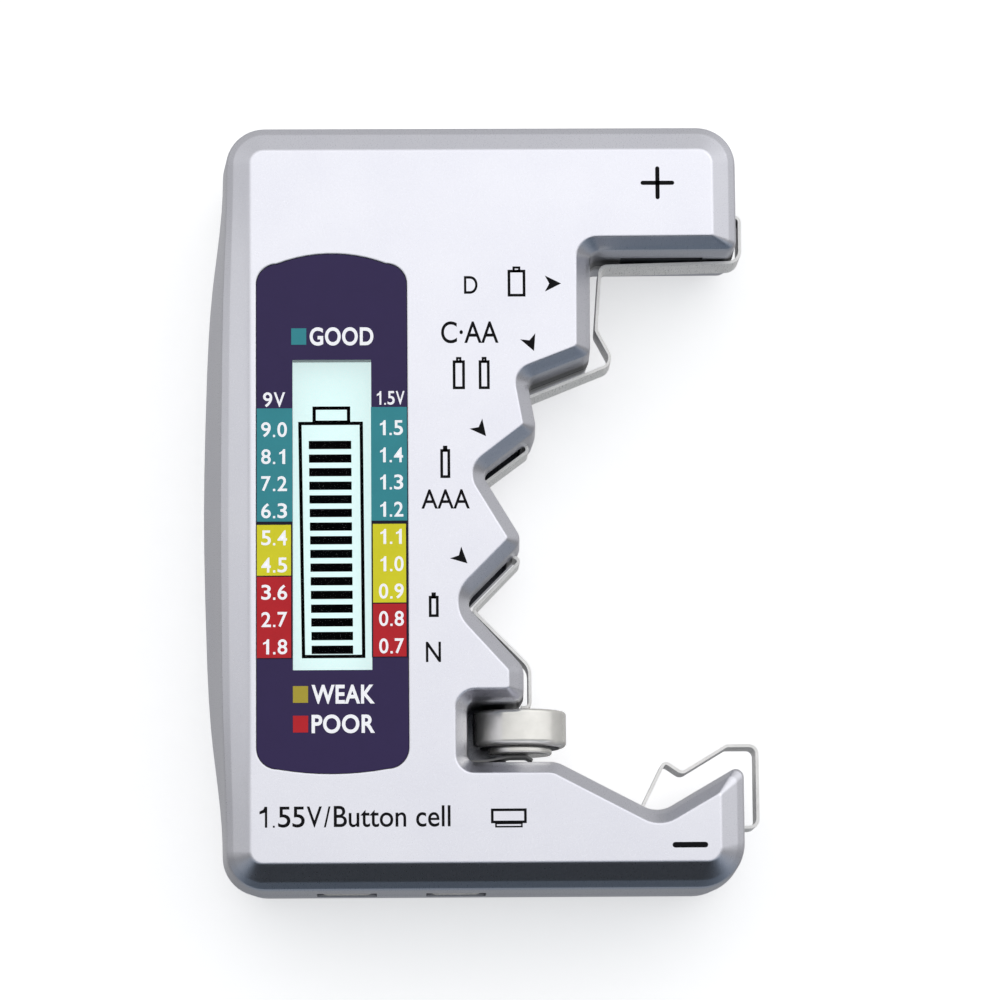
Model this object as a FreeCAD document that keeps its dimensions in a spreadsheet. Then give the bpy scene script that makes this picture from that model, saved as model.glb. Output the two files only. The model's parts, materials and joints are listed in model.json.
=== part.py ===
"""Handheld battery tester: silver case with a stepped jaw, bar-graph display and sprung contacts.

Frame: millimetres, lying on its back. +Z leaves the display face, +Y runs to the top of the
display, +X to the open side of the jaw. The origin is under the middle of the object.
"""

import FreeCAD, Part
import math
import os
import sys

import Sketcher

from FreeCAD import Placement, Rotation, Vector

DIMENSIONS = {
    # case
    "case_thickness": 23.0,
    "bevel_depth": 2.6,
    "wall_draft": 0.15,
    "edge_break": 0.1,
    "side_wall": 1.9,
    "face_wall": 2.0,
    "grip_bulge": 2.35,
    "grip_flare": 0.5,
    "ridge_bulge": 0.85,
    "ridge_round": 0.8,
    # display, centred on its own axis in the left half of the case
    "display_x": -18.2,
    "label_width": 18.5,
    "label_top": 29.5,
    "label_bottom": -32.9,
    "label_corner": 2.6,
    "label_crown_top": 1.25,
    "label_crown_bottom": 0.6,
    "label_thickness": 0.25,
    "opening_width": 9.7,
    "opening_height": 38.4,
    "opening_y": -1.65,
    "lens_fit": 0.1,
    "lens_flange": 1.0,
    "lens_border": 1.1,
    "glass_width": 14.0,
    "glass_top": 20.6,
    "front_glass_height": 44.6,
    "back_glass_height": 41.6,
    "glass_thickness": 0.7,
    "film_thickness": 0.15,
    "film_inset": 0.4,
    "holder_width": 18.0,
    "holder_height": 48.6,
    "holder_y": -1.7,
    "well_width": 12.0,
    "well_height": 37.0,
    "zebra_length": 11.0,
    "zebra_width": 1.8,
    "zebra_y": -22.6,
    # board
    "board_top": 14.2,
    "board_thickness": 1.2,
    "board_width": 22.2,
    "board_height": 73.0,
    "board_x": -17.9,
    "chip_radius": 4.6,
    "chip_height": 1.5,
    "inductor_radius": 2.4,
    "inductor_height": 3.2,
    "diode_radius": 0.7,
    "diode_length": 3.6,
    "smd_length": 1.6,
    "smd_width": 0.8,
    "resistor_height": 0.45,
    "capacitor_height": 0.85,
    # contacts
    "strip_width": 6.0,
    "strip_thickness": 0.4,
    "leaf_thickness": 0.3,
    "leaf_width": 4.0,
    "slit_play": 0.12,
    "channel_rise": 1.1,
    "pad_width": 6.9,
    "pad_height": 6.2,
    "pad_leg": 3.4,
    "pad_recess": 0.2,
    "pad_pitch": 13.5,
    "pad_middle": -9.9,
    "lead_diameter": 1.1,
    # screws
    "case_screw_radius": 1.15,
    "case_screw_head": 2.2,
    "case_screw_seat": 4.0,
    "case_screw_length": 12.5,
    "board_screw_radius": 0.85,
    "board_screw_head": 1.7,
    "board_screw_length": 5.0,
    "boss_radius": 2.9,
    "rear_boss_radius": 3.8,
    "board_boss_radius": 2.3,
    "head_height": 1.5,
    "thread_play": 0.03,
    # button cell
    "cell_radius": 5.8,
    "cell_height": 5.4,
    "can_height": 4.5,
    "can_wall": 0.25,
    "cap_radius": 4.0,
    "cell_x": 4.85,
    "cell_top": -25.1,
}

# Outline of the display face, anticlockwise from its lower left corner: x, y, corner radius on the
# face, corner radius on the wall under the bevel, and the bevel's width on the edge that follows.
FACE_CORNERS = [
    (-28.2, -44.4, 1.4, 4.8, 3.15),
    (29.0, -44.45, 1.6, 5.6, 3.1),
    (29.0, -36.12, 0.2, 1.0, 1.8),
    (21.65, -40.38, 4.0, 3.4, 1.7),
    (8.56, -33.55, 2.0, 3.4, 1.6),
    (-3.26, -33.55, 2.3, 1.0, 1.5),
    (-3.26, -23.2, 2.5, 1.2, 1.3),
    (3.31, -23.2, 0.3, 1.4, 1.9),
    (3.31, -20.95, 0.8, 2.2, 1.84),
    (-4.35, -12.52, 4.1, 1.7, 1.36),
    (3.35, -4.75, 0.6, 1.8, 1.7),
    (-1.87, 3.9, 2.9, 1.2, 1.35),
    (5.3, 9.4, 0.5, 1.7, 1.7),
    (4.08, 16.1, 2.6, 1.0, 1.25),
    (11.95, 19.15, 0.5, 1.3, 1.85),
    (12.05, 32.87, 2.7, 1.2, 1.3),
    (29.0, 32.95, 0.15, 1.2, 3.1),
    (29.0, 43.83, 1.7, 4.8, 3.45),
    (-28.2, 43.83, 1.6, 4.8, 3.15),
]

# Contact strips as bent lines in the plan view: x, y, bend radius.
ROUTE_D_C = [
    (29.4, 37.0, 0),
    (32.95, 37.0, 0.7),
    (32.95, 31.2, 1.5),
    (15.4, 30.75, 0.9),
    (14.8, 22.6, 1.0),
    (17.0, 18.45, 1.3),
    (3.2, 12.88, 0),
]
ROUTE_AAA = [
    (3.6, 8.7, 0),
    (6.75, 7.8, 0.6),
    (-2.6, 0.88, 0),
]
ROUTE_N = [
    (2.0, -4.9, 0),
    (5.15, -6.36, 0.5),
    (-0.9, -12.6, 0.5),
    (6.12, -19.72, 2.2),
    (6.12, -24.75, 0.7),
    (5.0, -24.75, 0),
]
ROUTE_MINUS = [
    (29.55, -41.6, 0),
    (29.55, -39.75, 0.5),
    (34.15, -39.75, 1.0),
    (34.15, -29.65, 1.0),
    (30.4, -29.65, 0.9),
    (24.85, -33.0, 0.8),
    (22.7, -31.55, 0.5),
    (18.1, -40.85, 0),
]
ROUTE_BUTTON_LEAF = [
    (-4.2, -31.3, 0),
    (0.6, -31.3, 1.5),
    (3.6, -30.75, 1.0),
    (5.6, -30.75, 0.8),
    (6.4, -31.2, 0),
]

# Screw positions in the plan view.
CASE_SCREWS = [(-25.6, 40.3), (24.4, 39.6), (-25.6, -40.3), (9.3, -40.0)]
BOARD_SCREWS = [(-26.0, 30.5), (-9.8, 30.5), (-18.0, -31.5)]

# Clear space that the sprung contacts need inside the walls: corners in the plan view.
MINUS_LIMB_SLOT = ((17.3, -41.5), (20.8, -36.6))
MINUS_ANCHOR_SLOT = ((30.0, -40.35), (33.0, -39.15))
LEAF_SLOT = ((-4.5, -31.75), (-0.9, -30.9))

# Channels let into the walls behind the strips: the line of each one's inner side in the plan view.
CHANNELS = [
    ((28.2, 32.3), (17.9, 32.3)),
    ((4.7, 8.3), (-0.4, 4.4)),
    ((2.75, -6.05), (-2.55, -11.35)),
]
CHANNEL_WIDTH = 2.6

# Wall behind the button cell: corners in the plan view, and its front face.
CELL_BACKSTOP = ((-3.6, -33.7), (3.3, -23.1))
CELL_BACKSTOP_TOP = 4.6

# Insulated leads: corners of each run from the board to its contact.
LEADS = {
    "lead_d_c": [(-9.0, 16.0, 12.95), (-9.0, 16.0, 9.8), (2.95, 12.75, 9.8)],
    "lead_aaa": [(-9.0, 4.0, 12.95), (-9.0, 4.0, 9.8), (-3.0, 0.6, 9.8)],
    "lead_n": [(-9.0, -8.0, 12.95), (-9.0, -8.0, 9.8), (-4.0, -4.6, 9.8), (1.7, -4.75, 9.8)],
    "lead_button": [(-9.0, -27.0, 12.95), (-9.0, -27.0, 9.8), (-4.75, -30.9, 9.8)],
    "lead_minus": [
        (-9.0, -34.0, 12.95),
        (-9.0, -34.0, 6.0),
        (-4.0, -44.6, 6.0),
        (24.0, -44.6, 6.0),
        (28.6, -42.9, 9.5),
    ],
}
LEAD_BEND = 1.4


def make_sheet(doc):
    sheet = doc.addObject("Spreadsheet::Sheet", "Dims")
    for row, (name, value) in enumerate(DIMENSIONS.items(), start=1):
        sheet.set(f"A{row}", name)
        sheet.set(f"B{row}", str(value))
        sheet.setAlias(f"B{row}", name)
    doc.recompute()
    return sheet


doc = FreeCAD.newDocument("BatteryTester")
SHEET = make_sheet(doc)


def dim(name):
    return float(SHEET.get(name))


# ---------------------------------------------------------------- plan-view geometry


def offset_corners(corners, offsets, closed=True):
    """Corners of a polyline whose edge i is moved to its right by offsets[i]."""
    count = len(corners)
    edges = count if closed else count - 1
    lines = []
    for i in range(edges):
        start = Vector(*corners[i], 0)
        along = (Vector(*corners[(i + 1) % count], 0) - start).normalize()
        lines.append((start + Vector(along.y, -along.x, 0) * offsets[i], along))
    moved = []
    for i in range(count):
        before = lines[i - 1] if closed or i else None
        after = lines[i] if i < edges else None
        if before is None:
            moved.append(after[0])
        elif after is None:
            length = math.dist(corners[-2], corners[-1])
            moved.append(before[0] + before[1] * length)
        else:
            gap = after[0] - before[0]
            turn = before[1].x * after[1].y - before[1].y * after[1].x
            run = (gap.x * after[1].y - gap.y * after[1].x) / turn
            moved.append(before[0] + before[1] * run)
    return moved


def corner_arc(before, corner, after, radius):
    """Arc of the given radius tangent to both edges that meet at a corner, or None if it is sharp."""
    inward = (before - corner).normalize()
    onward = (after - corner).normalize()
    half = inward.getAngle(onward) / 2
    if radius < 0.02 or half > math.pi / 2 - 0.01:
        return None
    reach = radius / math.tan(half)
    middle = (inward + onward).normalize()
    mid_point = corner + middle * (radius / math.sin(half) - radius)
    return Part.Arc(corner + inward * reach, mid_point, corner + onward * reach)


def rounded_outline(points, radii, bulged_edge=None, bulge=0.0):
    """Closed outline as a list of curves: an arc at each corner, a line or a bulged curve between."""
    count = len(points)
    arcs = [
        corner_arc(points[i - 1], points[i], points[(i + 1) % count], radii[i])
        for i in range(count)
    ]
    curves = []
    for i, arc in enumerate(arcs):
        following = arcs[(i + 1) % count]
        start = arc.EndPoint if arc else points[i]
        end = following.StartPoint if following else points[(i + 1) % count]
        if arc:
            curves.append(arc)
        if i == bulged_edge and bulge:
            curves.append(bulged_curve(start, end, bulge))
        else:
            curves.append(Part.LineSegment(start, end))
    return curves


def bulged_curve(start, end, bulge):
    """Smooth curve that leaves a straight edge by bulge at mid length, tangent to it at both ends."""
    along = (end - start).normalize()
    outward = Vector(along.y, -along.x, 0)
    points = []
    for share in (0.0, 0.17, 0.33, 0.5, 0.67, 0.83, 1.0):
        height = bulge * (1 - (2 * share - 1) ** 2)
        points.append(start + (end - start) * share + outward * height)
    curve = Part.BSplineCurve()
    curve.interpolate(Points=points, InitialTangent=along, FinalTangent=along)
    return curve


def case_wire(level, reach, extra=0.0, flare=0.0, bulge=0.0):
    """Case outline at one height: reach 0 is the face's edge and 1 the wall below the bevel."""
    points = [corner[:2] for corner in FACE_CORNERS]
    offsets = [reach * corner[4] + extra for corner in FACE_CORNERS]
    offsets[-1] += flare
    radii = [corner[2] + reach * (corner[3] - corner[2]) for corner in FACE_CORNERS]
    moved = offset_corners(points, offsets)
    curves = rounded_outline(moved, radii, len(FACE_CORNERS) - 1, bulge)
    wire = Part.Wire([curve.toShape() for curve in curves])
    wire.translate(Vector(0, 0, level))
    return wire


def strip_outline(route, thickness):
    """Closed outline of a strip of the given thickness bent along a route of (x, y, radius)."""
    points = [corner[:2] for corner in route]
    half = thickness / 2
    right = offset_corners(points, [half] * (len(points) - 1), closed=False)
    left = offset_corners(points, [-half] * (len(points) - 1), closed=False)
    radii_right = []
    radii_left = []
    for i, (x, y, radius) in enumerate(route):
        if radius == 0:
            radii_right.append(0)
            radii_left.append(0)
            continue
        into = Vector(x - points[i - 1][0], y - points[i - 1][1], 0)
        away = Vector(points[i + 1][0] - x, points[i + 1][1] - y, 0)
        left_turn = 1 if into.x * away.y - into.y * away.x > 0 else -1
        radii_right.append(radius + left_turn * half)
        radii_left.append(radius - left_turn * half)
    return rounded_outline(right + left[::-1], radii_right + radii_left[::-1])


def prism(curves, bottom, height):
    face = Part.Face(Part.Wire([curve.toShape() for curve in curves]))
    face.translate(Vector(0, 0, bottom))
    return face.extrude(Vector(0, 0, height))


def block(low, high, bottom, top):
    size = (high[0] - low[0], high[1] - low[1], top - bottom)
    return Part.makeBox(*size, Vector(low[0], low[1], bottom))


def post(place, radius, bottom, top):
    return Part.makeCylinder(radius, top - bottom, Vector(place[0], place[1], bottom))


# ---------------------------------------------------------------- document objects


def add_shape(label, shape):
    """Sub-part whose shape is built directly, at the document's origin."""
    obj = doc.addObject("Part::Feature", label)
    obj.Shape = shape
    obj.Placement = Placement()
    obj.Label = label
    return obj


def add_body(label, place=Vector(), rotation=Rotation()):
    body = doc.addObject("PartDesign::Body", label)
    body.Label = label
    body.Placement = Placement(place, rotation)
    return body


def origin_plane(body, role="XY_Plane"):
    return next(item for item in body.Origin.OriginFeatures if item.Role == role)


def add_sketch(body, name, role="XY_Plane", height=0.0):
    sketch = body.newObject("Sketcher::SketchObject", f"{body.Name}_{name}")
    sketch.AttachmentSupport = [(origin_plane(body, role), "")]
    sketch.MapMode = "FlatFace"
    sketch.AttachmentOffset = Placement(Vector(0, 0, height), Rotation())
    return sketch


def add_rectangle(sketch, width, height, middle=(0.0, 0.0)):
    """Rectangle whose width and height are held by constraints bound to the sheet."""
    half_w = dim(width) / 2
    half_h = dim(height) / 2
    ring = [
        Vector(middle[0] + sx * half_w, middle[1] + sy * half_h, 0)
        for sx, sy in ((-1, -1), (1, -1), (1, 1), (-1, 1))
    ]
    first = sketch.GeometryCount
    for i in range(4):
        sketch.addGeometry(Part.LineSegment(ring[i], ring[(i + 1) % 4]), False)
    for i in range(4):
        joined = first + (i + 1) % 4
        sketch.addConstraint(Sketcher.Constraint("Coincident", first + i, 2, joined, 1))
    for i in (0, 2):
        sketch.addConstraint(Sketcher.Constraint("Horizontal", first + i))
    for i in (1, 3):
        sketch.addConstraint(Sketcher.Constraint("Vertical", first + i))
    sketch.addConstraint(
        Sketcher.Constraint("DistanceX", first, 1, first, 2, 2 * half_w)
    )
    across = sketch.ConstraintCount - 1
    sketch.addConstraint(
        Sketcher.Constraint("DistanceY", first + 1, 1, first + 1, 2, 2 * half_h)
    )
    sketch.addConstraint(
        Sketcher.Constraint("DistanceX", -1, 1, first, 1, middle[0] - half_w)
    )
    sketch.addConstraint(
        Sketcher.Constraint("DistanceY", -1, 1, first, 1, middle[1] - half_h)
    )
    sketch.setExpression(f"Constraints[{across}]", f"Dims.{width}")
    sketch.setExpression(f"Constraints[{across + 1}]", f"Dims.{height}")
    sketch.setExpression(
        f"Constraints[{across + 2}]", f"{middle[0]} - Dims.{width} / 2"
    )
    sketch.setExpression(
        f"Constraints[{across + 3}]", f"{middle[1]} - Dims.{height} / 2"
    )


def add_curves(sketch, curves):
    sketch.addGeometry(curves, False)


def add_pad(body, sketch, length):
    pad = body.newObject("PartDesign::Pad", f"{sketch.Name}_pad")
    pad.Profile = sketch
    pad.setExpression("Length", length)
    sketch.Visibility = False
    return pad


def add_pocket(body, sketch, length):
    """Pocket cut downwards from its sketch."""
    pocket = body.newObject("PartDesign::Pocket", f"{sketch.Name}_pocket")
    pocket.Profile = sketch
    pocket.setExpression("Length", length)
    return pocket


def add_revolution(body, sketch):
    """Full turn of a half section about the sketch's vertical axis."""
    turned = body.newObject("PartDesign::Revolution", f"{sketch.Name}_turned")
    turned.Profile = sketch
    turned.ReferenceAxis = (sketch, ["V_Axis"])
    turned.Angle = 360.0
    return turned


def section(points):
    ring = [Vector(x, y, 0) for x, y in points]
    return [
        Part.LineSegment(ring[i], ring[(i + 1) % len(ring)]) for i in range(len(ring))
    ]


def add_plate(label, width, height, thickness, middle, bottom):
    """Flat rectangular piece whose three sizes and place are bound to the sheet."""
    plate = doc.addObject("Part::Box", label)
    plate.Label = label
    plate.setExpression("Length", width)
    plate.setExpression("Width", height)
    plate.setExpression("Height", thickness)
    plate.setExpression("Placement.Base.x", f"{middle[0]} - ({width}) / 2")
    plate.setExpression("Placement.Base.y", f"{middle[1]} - ({height}) / 2")
    plate.setExpression("Placement.Base.z", bottom)
    return plate


def add_group(label, solids):
    return add_shape(label, Part.makeCompound(solids))


# ---------------------------------------------------------------- sub-parts

MIDDLE = dim("case_thickness") / 2
BOARD_BACK = dim("board_top") - dim("board_thickness")
STRIP_BOTTOM = MIDDLE - dim("strip_width") / 2


def half_case():
    """Solid outer form of the front half, from the parting plane to the display face."""
    top = dim("case_thickness")
    broken = dim("edge_break")
    draft = dim("wall_draft")
    ridge = top - dim("bevel_depth")
    flare = dim("grip_flare")
    grip = dim("grip_bulge")
    crest = dim("ridge_bulge")
    soft = dim("ridge_round")
    on_ridge = 0.94
    past_ridge = 1 - soft / dim("bevel_depth")
    near_face = broken / dim("bevel_depth")
    wires = [
        case_wire(MIDDLE, 1, draft - 1.2 * broken, flare, grip),
        case_wire(MIDDLE + 1.5 * broken, 1, draft, flare, grip),
        case_wire(ridge - soft, 1, bulge=crest),
        case_wire(ridge, on_ridge, bulge=on_ridge * crest),
        case_wire(ridge + soft, past_ridge, bulge=past_ridge * crest),
        case_wire(top - broken, near_face),
        case_wire(top, 0, -0.6 * broken),
    ]
    return Part.makeLoft(wires, True, True)


def cavity(bottom, height):
    """Hollow inside one half: the wall outline brought in by the wall's thickness."""
    wall = dim("side_wall")
    points = [corner[:2] for corner in FACE_CORNERS]
    offsets = [corner[4] - wall for corner in FACE_CORNERS]
    radii = [max(corner[2], 0.4) for corner in FACE_CORNERS]
    curves = rounded_outline(offset_corners(points, offsets), radii)
    return prism(curves, bottom, height)


def label_outline(margin=0.0):
    """Label outline: straight sides, rounded corners and gently crowned ends."""
    half = dim("label_width") / 2 + margin
    top = dim("label_top") + margin
    bottom = dim("label_bottom") - margin
    corner = dim("label_corner")
    crown_top = Vector(0, top + dim("label_crown_top"), 0)
    crown_bottom = Vector(0, bottom - dim("label_crown_bottom"), 0)
    tuck = corner * (1 - math.sqrt(0.5))
    right_low = Vector(half, bottom + corner, 0)
    right_high = Vector(half, top - corner, 0)
    left_high = Vector(-half, top - corner, 0)
    left_low = Vector(-half, bottom + corner, 0)
    foot_right = Vector(half - corner, bottom, 0)
    head_right = Vector(half - corner, top, 0)
    head_left = Vector(corner - half, top, 0)
    foot_left = Vector(corner - half, bottom, 0)
    return [
        Part.Arc(foot_left, crown_bottom, foot_right),
        Part.Arc(foot_right, Vector(half - tuck, bottom + tuck, 0), right_low),
        Part.LineSegment(right_low, right_high),
        Part.Arc(right_high, Vector(half - tuck, top - tuck, 0), head_right),
        Part.Arc(head_right, crown_top, head_left),
        Part.Arc(head_left, Vector(tuck - half, top - tuck, 0), left_high),
        Part.LineSegment(left_high, left_low),
        Part.Arc(left_low, Vector(tuck - half, bottom + tuck, 0), foot_left),
    ]


def strip_clearance(route, thickness):
    play = dim("slit_play")
    curves = strip_outline(route, thickness + 2 * play)
    return prism(curves, STRIP_BOTTOM - play, dim("strip_width") + 2 * play)


def contact_cuts():
    """Every slit and window in the walls that a contact passes through."""
    play = dim("slit_play")
    low = STRIP_BOTTOM - play
    high = STRIP_BOTTOM + dim("strip_width") + play
    cuts = [
        strip_clearance(route, dim("strip_thickness"))
        for route in (ROUTE_D_C, ROUTE_AAA, ROUTE_N)
    ]
    for corners in (MINUS_LIMB_SLOT, MINUS_ANCHOR_SLOT):
        cuts.append(block(*corners, low, high))
    reach = dim("leaf_width") / 2 + play
    cuts.append(block(*LEAF_SLOT, MIDDLE - reach, MIDDLE + reach))
    tall = high - low + dim("channel_rise")
    for start, end in CHANNELS:
        across = offset_corners([start, end], [-CHANNEL_WIDTH], closed=False)
        corners = [Vector(*start, 0), Vector(*end, 0)] + across[::-1]
        cuts.append(prism(rounded_outline(corners, [0] * 4), low, tall))
    half = dim("pad_width") / 2 + 2 * play
    for side in (-0.5, 0.5):
        middle = dim("pad_middle") + side * dim("pad_pitch")
        reach = dim("pad_height") / 2 + 2 * play
        corners = ((middle - half, -48.0), (middle + half, -45.0))
        cuts.append(block(*corners, MIDDLE - reach, MIDDLE + reach))
    return cuts


def make_front_shell():
    top = dim("case_thickness")
    inside = top - dim("face_wall")
    display = dim("display_x")
    shell = half_case().cut(cavity(MIDDLE - 1, inside - MIDDLE + 1))
    bosses = [post(place, dim("boss_radius"), MIDDLE + 0.05, inside + 0.5) for place in CASE_SCREWS]
    for place in BOARD_SCREWS:
        bosses.append(post(place, dim("board_boss_radius"), dim("board_top"), inside + 0.5))
    shell = shell.fuse(bosses)
    play = dim("thread_play")
    cuts = contact_cuts()
    for place in CASE_SCREWS:
        cuts.append(post(place, dim("case_screw_radius") + play, MIDDLE - 1, 18.5))
    for place in BOARD_SCREWS:
        cuts.append(post(place, dim("board_screw_radius") + play, dim("board_top") - 1, 19.2))
    label = prism(label_outline(0.08), top - dim("label_thickness"), 1)
    label.translate(Vector(display, 0, 0))
    cuts.append(label)
    half_w = dim("opening_width") / 2
    half_h = dim("opening_height") / 2
    low = (display - half_w, dim("opening_y") - half_h)
    high = (display + half_w, dim("opening_y") + half_h)
    cuts.append(block(low, high, inside - 1, top + 1))
    return add_shape("front_shell", shell.cut(cuts).removeSplitter())


def make_rear_shell():
    shell = half_case().mirror(Vector(0, 0, MIDDLE), Vector(0, 0, 1))
    floor = dim("face_wall")
    shell = shell.cut(cavity(floor, MIDDLE + 1 - floor))
    solids = [post(place, dim("rear_boss_radius"), 1, MIDDLE - 0.05) for place in CASE_SCREWS]
    backstop = block(*CELL_BACKSTOP, 0.6, CELL_BACKSTOP_TOP)
    shell = shell.fuse(solids + [backstop])
    cuts = contact_cuts()
    for place in CASE_SCREWS:
        cuts.append(post(place, dim("case_screw_head") + 0.3, -1, dim("case_screw_seat")))
        cuts.append(post(place, dim("case_screw_radius") + 0.2, 0, MIDDLE + 1))
    return add_shape("rear_shell", shell.cut(cuts).removeSplitter())


def make_label():
    top = dim("case_thickness")
    body = add_body("display_label", Vector(dim("display_x"), 0, 0))
    body.setExpression("Placement.Base.z", "Dims.case_thickness - Dims.label_thickness")
    sketch = add_sketch(body, "outline")
    add_curves(sketch, label_outline())
    add_rectangle(sketch, "opening_width", "opening_height", (0.0, dim("opening_y")))
    add_pad(body, sketch, "Dims.label_thickness")
    return body


def make_window():
    """Clear lens: a flange glued under the face, and a raised pane that fills the opening."""
    body = add_body("display_window", Vector(dim("display_x"), dim("opening_y"), 0))
    bottom = "Dims.case_thickness - Dims.face_wall - Dims.lens_flange"
    body.setExpression("Placement.Base.z", bottom)
    flange = add_sketch(body, "flange")
    border = dim("lens_border")
    half_w = dim("opening_width") / 2
    half_h = dim("opening_height") / 2
    ring = section(
        [
            (-half_w - border, -half_h - border),
            (half_w + border, -half_h - border),
            (half_w + border, half_h + border),
            (-half_w - border, half_h + border),
        ]
    )
    add_curves(flange, ring)
    add_pad(body, flange, "Dims.lens_flange")
    pane = add_sketch(body, "pane", height=dim("lens_flange"))
    fit = dim("lens_fit")
    add_curves(
        pane,
        section(
            [
                (fit - half_w, fit - half_h),
                (half_w - fit, fit - half_h),
                (half_w - fit, half_h - fit),
                (fit - half_w, half_h - fit),
            ]
        ),
    )
    add_pad(body, pane, "Dims.face_wall - 0.1")
    return body


def make_display_stack():
    """Glass plates and films, from the front film down to the reflector."""
    x = dim("display_x")
    top = dim("glass_top")
    front = "Dims.case_thickness - Dims.face_wall - Dims.lens_flange"
    glass = "Dims.glass_thickness"
    film = "Dims.film_thickness"
    narrow = "Dims.glass_width - 2 * Dims.film_inset"
    front_middle = (x, top - dim("front_glass_height") / 2)
    back_middle = (x, top - dim("back_glass_height") / 2)
    film_height = "Dims.back_glass_height - 2 * Dims.film_inset"
    add_plate("lcd_polariser", narrow, film_height, film, back_middle, f"{front} - {film} - 0.02")
    add_plate(
        "lcd_front_glass",
        "Dims.glass_width",
        "Dims.front_glass_height",
        glass,
        front_middle,
        f"{front} - {film} - {glass} - 0.02",
    )
    add_plate(
        "lcd_back_glass",
        "Dims.glass_width",
        "Dims.back_glass_height",
        glass,
        back_middle,
        f"{front} - {film} - 2 * {glass} - 0.03",
    )
    add_plate(
        "lcd_reflector",
        narrow,
        film_height,
        film,
        back_middle,
        f"{front} - 2 * {film} - 2 * {glass} - 0.03",
    )


def glass_underside():
    return (
        dim("case_thickness")
        - dim("face_wall")
        - dim("lens_flange")
        - dim("film_thickness")
        - dim("glass_thickness")
        - 0.02
    )


def make_holder():
    """Frame that stands on the board and carries the glass round its edge."""
    body = add_body("lcd_frame", Vector(dim("display_x"), 0, dim("board_top")))
    underside = glass_underside() - dim("board_top")
    rim = underside + dim("glass_thickness")
    seat = underside - dim("glass_thickness") - dim("film_thickness") - 0.03
    middle = (0.0, dim("holder_y"))
    outline = add_sketch(body, "outline")
    add_rectangle(outline, "holder_width", "holder_height", middle)
    add_pad(body, outline, f"{rim}")
    recess = add_sketch(body, "recess", height=rim)
    half = dim("glass_width") / 2 + 0.1
    high = dim("glass_top") + 0.1
    low = dim("glass_top") - dim("front_glass_height") - 0.1
    add_curves(recess, section([(-half, low), (half, low), (half, high), (-half, high)]))
    add_pocket(body, recess, f"{rim - seat}")
    well = add_sketch(body, "well", height=seat)
    add_rectangle(well, "well_width", "well_height", middle)
    add_pocket(body, well, f"{seat + 1}")
    channel = add_sketch(body, "channel", height=seat)
    half = dim("zebra_length") / 2 + 0.1
    low = dim("zebra_y") - dim("zebra_width") / 2 - 0.1
    high = dim("zebra_y") + dim("zebra_width") / 2 + 0.1
    add_curves(channel, section([(-half, low), (half, low), (half, high), (-half, high)]))
    add_pocket(body, channel, f"{seat + 1}")
    return body


def make_board():
    """Board behind the display, with a clearance hole for each board screw."""
    body = add_body("circuit_board", Vector(dim("board_x"), 0, BOARD_BACK))
    outline = add_sketch(body, "outline")
    add_rectangle(outline, "board_width", "board_height")
    add_pad(body, outline, "Dims.board_thickness")
    doc.recompute()
    holes = add_sketch(body, "holes", height=dim("board_thickness"))
    for x, y in BOARD_SCREWS:
        centre = Vector(x - dim("board_x"), y, 0)
        holes.addGeometry(Part.Circle(centre, Vector(0, 0, 1), 1.0), False)
    add_pocket(body, holes, "Dims.board_thickness + 1")
    return body


def make_board_parts():
    """Everything soldered on the back of the board."""
    chip = add_body("driver_chip", Vector(-18.0, 2.0, BOARD_BACK), Rotation(Vector(1, 0, 0), -90))
    sketch = add_sketch(chip, "section")
    radius = dim("chip_radius")
    height = dim("chip_height")
    foot = Vector(radius, 0, 0)
    edge = Vector(radius, 0.12, 0)
    crown = Vector(0.4, height, 0)
    shoulder = Vector(radius * 0.72, height * 0.62, 0)
    tip = Vector(0, height, 0)
    add_curves(
        sketch,
        [
            Part.LineSegment(foot, edge),
            Part.Arc(edge, shoulder, crown),
            Part.LineSegment(crown, tip),
            Part.LineSegment(tip, Vector()),
            Part.LineSegment(Vector(), foot),
        ],
    )
    add_revolution(chip, sketch)

    inductor = add_body(
        "boost_inductor", Vector(-23.0, -14.0, BOARD_BACK), Rotation(Vector(1, 0, 0), -90)
    )
    sketch = add_sketch(inductor, "section")
    radius = dim("inductor_radius")
    height = dim("inductor_height")
    waist = radius * 0.82
    flange = height * 0.2
    add_curves(
        sketch,
        section(
            [
                (0, 0),
                (radius, 0),
                (radius, flange),
                (waist, flange),
                (waist, height - flange),
                (radius, height - flange),
                (radius, height),
                (0, height),
            ]
        ),
    )
    add_revolution(inductor, sketch)

    diode = doc.addObject("Part::Cylinder", "rectifier_diode")
    diode.Label = "rectifier_diode"
    diode.setExpression("Radius", "Dims.diode_radius")
    diode.setExpression("Height", "Dims.diode_length")
    lying = Rotation(Vector(0, 1, 0), 90)
    diode.Placement = Placement(Vector(-17.5, -16.0, BOARD_BACK - dim("diode_radius")), lying)

    length = dim("smd_length")
    width = dim("smd_width")
    tall = dim("resistor_height")
    resistors = [
        Part.makeBox(width, length, tall, Vector(-26.5 + 2.6 * i, 12.0, BOARD_BACK - tall))
        for i in range(6)
    ]
    add_group("chip_resistors", resistors)
    tall = dim("capacitor_height")
    capacitors = [
        Part.makeBox(length, width, tall, Vector(-26.0 + 3.6 * i, -8.5, BOARD_BACK - tall))
        for i in range(4)
    ]
    add_group("chip_capacitors", capacitors)
    bottom = f"{dim('board_top')}"
    tall = f"{glass_underside() - dim('board_top') - 0.02}"
    middle = (dim("display_x"), dim("zebra_y"))
    add_plate("zebra_strip", "Dims.zebra_length", "Dims.zebra_width", tall, middle, bottom)


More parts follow.
